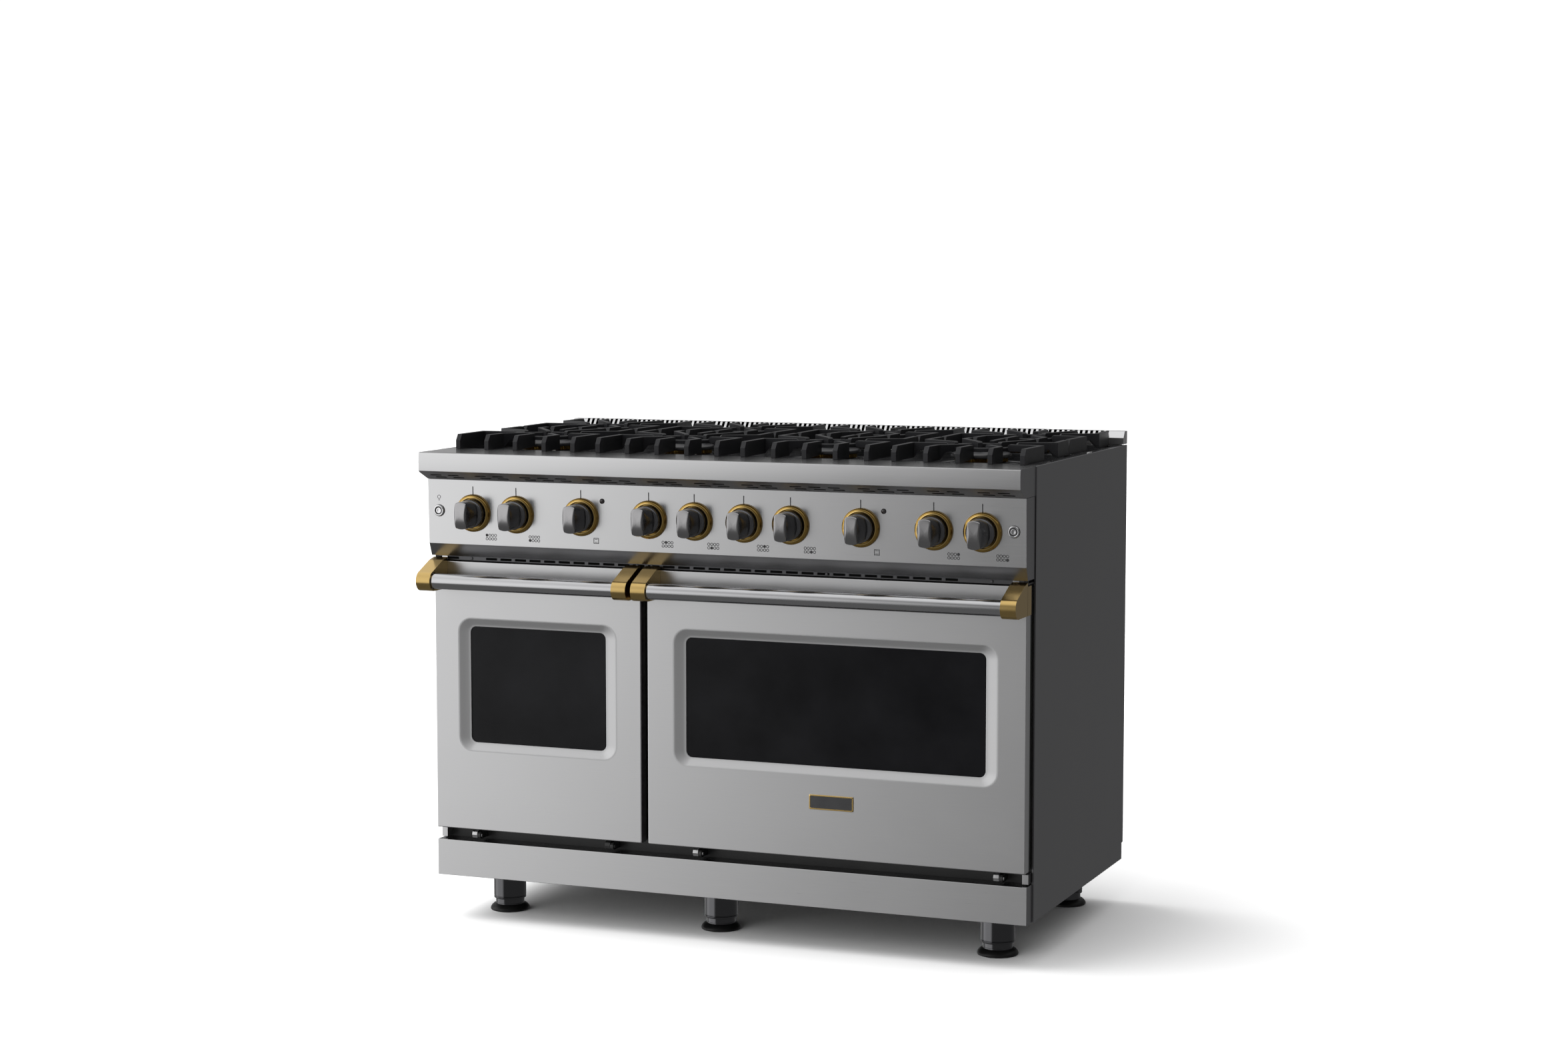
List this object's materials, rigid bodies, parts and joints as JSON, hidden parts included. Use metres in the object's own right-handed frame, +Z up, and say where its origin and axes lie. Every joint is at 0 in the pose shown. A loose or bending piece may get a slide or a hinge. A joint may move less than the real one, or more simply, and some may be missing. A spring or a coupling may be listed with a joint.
{
  "type": "freestanding gas range",
  "caption": "Freestanding gas range: a cooktop over ovens, bottom-hinged doors with bar handles, turning knobs, lift-off grates, sliding racks and levelling feet.",
  "frame": {"origin": "on the floor, under the middle of the bounding box", "axes": "+X to the right seen from the front, the doors face -Y, +Z up"},
  "size_m": [1.216, 0.73, 0.955],
  "materials": {
    "steel": "satin, grain along the width",
    "side_steel": "satin",
    "black_frame": "satin black",
    "brass": "satin",
    "cast_iron": "satin black enamel",
    "enamel": "gloss enamel",
    "window_glass": "gloss black",
    "knob_metal": "gunmetal, glossy",
    "chrome": "dark polished",
    "burner_black": "satin black"
  },
  "bodies": {
    "range_body": {"chassis": "black_frame", "left_side_panel": "side_steel", "right_side_panel": "side_steel", "back_panel": "side_steel", "kick_panel": "steel", "landing_ledge": "steel", "cooktop_pan": "side_steel", "island_trim": "steel", "control_panel": "steel", "gas_manifold": "side_steel", "left_oven_liner": "enamel", "right_oven_liner": "enamel", "front_burner_1": "burner_black", "front_burner_2": "burner_black", "front_burner_3": "burner_black", "front_burner_4": "burner_black", "rear_burner_1": "burner_black", "rear_burner_2": "burner_black", "rear_burner_3": "burner_black", "rear_burner_4": "burner_black"},
    "left_door": {"left_door_skin": "steel", "left_door_glass": "window_glass", "left_door_liner": "black_frame", "left_handle_bar": "steel", "left_handle_bracket_a": "brass", "left_handle_bracket_b": "brass"},
    "right_door": {"right_door_skin": "steel", "right_door_glass": "window_glass", "right_door_liner": "black_frame", "right_handle_bar": "steel", "right_handle_bracket_a": "brass", "right_handle_bracket_b": "brass"},
    "burner_1_knob": {"burner_1_knob": "knob_metal"},
    "burner_2_knob": {"burner_2_knob": "knob_metal"},
    "left_oven_knob": {"left_oven_knob": "knob_metal"},
    "burner_3_knob": {"burner_3_knob": "knob_metal"},
    "burner_4_knob": {"burner_4_knob": "knob_metal"},
    "burner_5_knob": {"burner_5_knob": "knob_metal"},
    "burner_6_knob": {"burner_6_knob": "knob_metal"},
    "right_oven_knob": {"right_oven_knob": "knob_metal"},
    "burner_7_knob": {"burner_7_knob": "knob_metal"},
    "burner_8_knob": {"burner_8_knob": "knob_metal"},
    "oven_light_button": {"oven_light_button": "chrome"},
    "convection_button": {"convection_button": "chrome"},
    "front_left_foot": {"front_left_foot": "chrome"},
    "front_centre_foot": {"front_centre_foot": "chrome"},
    "front_right_foot": {"front_right_foot": "chrome"},
    "rear_left_foot": {"rear_left_foot": "chrome"},
    "rear_right_foot": {"rear_right_foot": "chrome"},
    "front_grate_1": {"front_grate_1": "cast_iron"},
    "front_grate_2": {"front_grate_2": "cast_iron"},
    "front_grate_3": {"front_grate_3": "cast_iron"},
    "front_grate_4": {"front_grate_4": "cast_iron"},
    "rear_grate_1": {"rear_grate_1": "cast_iron"},
    "rear_grate_2": {"rear_grate_2": "cast_iron"},
    "rear_grate_3": {"rear_grate_3": "cast_iron"},
    "rear_grate_4": {"rear_grate_4": "cast_iron"},
    "left_oven_rack_1": {"left_oven_rack_1": "chrome"},
    "right_oven_rack_1": {"right_oven_rack_1": "chrome"},
    "right_oven_rack_2": {"right_oven_rack_2": "chrome"}
  },
  "joints": [
    {"name": "left_door_hinge", "type": "hinge", "parent": "range_body", "child": "left_door", "pos_m": [0, -0.275, 0.17], "axis": [1, 0, 0], "range_deg": [0, 90], "stiffness_Nm_per_rad": 6, "springref_deg": -22.92},
    {"name": "right_door_hinge", "type": "hinge", "parent": "range_body", "child": "right_door", "pos_m": [0, -0.275, 0.17], "axis": [1, 0, 0], "range_deg": [0, 90], "stiffness_Nm_per_rad": 10, "springref_deg": -22.92},
    {"name": "burner_1_knob_turn", "type": "hinge", "parent": "range_body", "child": "burner_1_knob", "pos_m": [-0.5084, -0.30697, 0.808], "axis": [0, -0.9997, -0.0256], "range_deg": [0, 270]},
    {"name": "burner_2_knob_turn", "type": "hinge", "parent": "range_body", "child": "burner_2_knob", "pos_m": [-0.4156, -0.30697, 0.808], "axis": [0, -0.9997, -0.0256], "range_deg": [0, 270]},
    {"name": "left_oven_knob_turn", "type": "hinge", "parent": "range_body", "child": "left_oven_knob", "pos_m": [-0.278, -0.30697, 0.808], "axis": [0, -0.9997, -0.0256], "range_deg": [0, 300]},
    {"name": "burner_3_knob_turn", "type": "hinge", "parent": "range_body", "child": "burner_3_knob", "pos_m": [-0.1364, -0.30697, 0.808], "axis": [0, -0.9997, -0.0256], "range_deg": [0, 270]},
    {"name": "burner_4_knob_turn", "type": "hinge", "parent": "range_body", "child": "burner_4_knob", "pos_m": [-0.0428, -0.30697, 0.808], "axis": [0, -0.9997, -0.0256], "range_deg": [0, 270]},
    {"name": "burner_5_knob_turn", "type": "hinge", "parent": "range_body", "child": "burner_5_knob", "pos_m": [0.0577, -0.30697, 0.808], "axis": [0, -0.9997, -0.0256], "range_deg": [0, 270]},
    {"name": "burner_6_knob_turn", "type": "hinge", "parent": "range_body", "child": "burner_6_knob", "pos_m": [0.1511, -0.30697, 0.808], "axis": [0, -0.9997, -0.0256], "range_deg": [0, 270]},
    {"name": "right_oven_knob_turn", "type": "hinge", "parent": "range_body", "child": "right_oven_knob", "pos_m": [0.2894, -0.30697, 0.808], "axis": [0, -0.9997, -0.0256], "range_deg": [0, 300]},
    {"name": "burner_7_knob_turn", "type": "hinge", "parent": "range_body", "child": "burner_7_knob", "pos_m": [0.4306, -0.30697, 0.808], "axis": [0, -0.9997, -0.0256], "range_deg": [0, 270]},
    {"name": "burner_8_knob_turn", "type": "hinge", "parent": "range_body", "child": "burner_8_knob", "pos_m": [0.5235, -0.30697, 0.808], "axis": [0, -0.9997, -0.0256], "range_deg": [0, 270]},
    {"name": "oven_light_button_press", "type": "slide", "parent": "range_body", "child": "oven_light_button", "axis": [0, 0.9997, 0.0256], "range_m": [0, 0.003], "stiffness_N_per_m": 300, "springref_m": -0.001},
    {"name": "convection_button_press", "type": "slide", "parent": "range_body", "child": "convection_button", "axis": [0, 0.9997, 0.0256], "range_m": [0, 0.003], "stiffness_N_per_m": 300, "springref_m": -0.001},
    {"name": "front_left_foot_level", "type": "slide", "parent": "range_body", "child": "front_left_foot", "axis": [0, 0, -1], "range_m": [0, 0.035]},
    {"name": "front_centre_foot_level", "type": "slide", "parent": "range_body", "child": "front_centre_foot", "axis": [0, 0, -1], "range_m": [0, 0.035]},
    {"name": "front_right_foot_level", "type": "slide", "parent": "range_body", "child": "front_right_foot", "axis": [0, 0, -1], "range_m": [0, 0.035]},
    {"name": "rear_left_foot_level", "type": "slide", "parent": "range_body", "child": "rear_left_foot", "axis": [0, 0, -1], "range_m": [0, 0.035]},
    {"name": "rear_right_foot_level", "type": "slide", "parent": "range_body", "child": "rear_right_foot", "axis": [0, 0, -1], "range_m": [0, 0.035]},
    {"name": "front_grate_1_lift", "type": "slide", "parent": "range_body", "child": "front_grate_1", "axis": [0, 0, 1], "range_m": [0, 0.1]},
    {"name": "front_grate_2_lift", "type": "slide", "parent": "range_body", "child": "front_grate_2", "axis": [0, 0, 1], "range_m": [0, 0.1]},
    {"name": "front_grate_3_lift", "type": "slide", "parent": "range_body", "child": "front_grate_3", "axis": [0, 0, 1], "range_m": [0, 0.1]},
    {"name": "front_grate_4_lift", "type": "slide", "parent": "range_body", "child": "front_grate_4", "axis": [0, 0, 1], "range_m": [0, 0.1]},
    {"name": "rear_grate_1_lift", "type": "slide", "parent": "range_body", "child": "rear_grate_1", "axis": [0, 0, 1], "range_m": [0, 0.1]},
    {"name": "rear_grate_2_lift", "type": "slide", "parent": "range_body", "child": "rear_grate_2", "axis": [0, 0, 1], "range_m": [0, 0.1]},
    {"name": "rear_grate_3_lift", "type": "slide", "parent": "range_body", "child": "rear_grate_3", "axis": [0, 0, 1], "range_m": [0, 0.1]},
    {"name": "rear_grate_4_lift", "type": "slide", "parent": "range_body", "child": "rear_grate_4", "axis": [0, 0, 1], "range_m": [0, 0.1]},
    {"name": "left_oven_rack_1_slide", "type": "slide", "parent": "range_body", "child": "left_oven_rack_1", "axis": [0, -1, 0], "range_m": [0, 0.02]},
    {"name": "right_oven_rack_1_slide", "type": "slide", "parent": "range_body", "child": "right_oven_rack_1", "axis": [0, -1, 0], "range_m": [0, 0.02]},
    {"name": "right_oven_rack_2_slide", "type": "slide", "parent": "range_body", "child": "right_oven_rack_2", "axis": [0, -1, 0], "range_m": [0, 0.02]}
  ]
}
